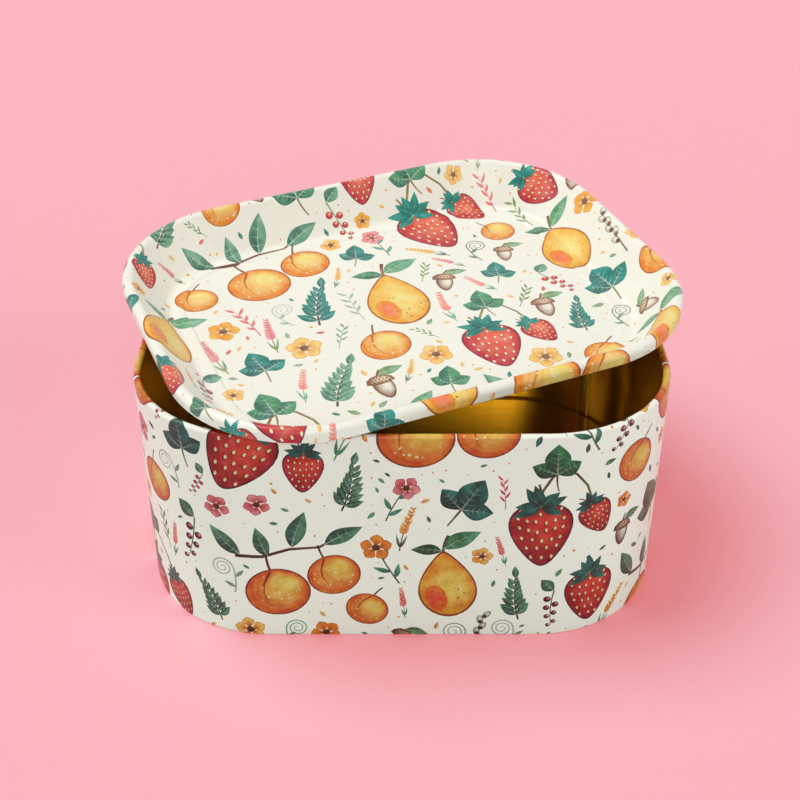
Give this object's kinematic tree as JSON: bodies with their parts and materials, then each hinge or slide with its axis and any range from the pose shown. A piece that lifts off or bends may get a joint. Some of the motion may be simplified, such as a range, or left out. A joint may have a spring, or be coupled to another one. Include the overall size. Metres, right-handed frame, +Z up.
{
  "type": "tin storage box",
  "caption": "Round-cornered tinplate storage box with a rolled mouth and a printed tray lid that lifts off and here lies askew across the open box.",
  "frame": {"origin": "centre of the box's base, on the plane of the fold that it stands on", "axes": "+X along the box's length to the right, +Y from the front wall to the back wall, +Z up"},
  "size_m": [0.1982, 0.1778, 0.1016],
  "materials": {
    "printed_tinplate": "off-white printed and varnished tinplate, gold lacquer inside",
    "gold_lacquer": "glossy gold lacquer over tinplate",
    "printed_lid": "off-white printed and varnished tinplate, gold lacquer underneath"
  },
  "bodies": {
    "box": {"body_wall": "printed_tinplate", "bottom_panel": "gold_lacquer"},
    "lid": {"tray_lid": "printed_lid"}
  },
  "joints": [
    {"name": "lid_lift", "type": "slide", "parent": "box", "child": "lid", "axis": [0, 0, 1], "range_m": [0, 0.12]}
  ]
}
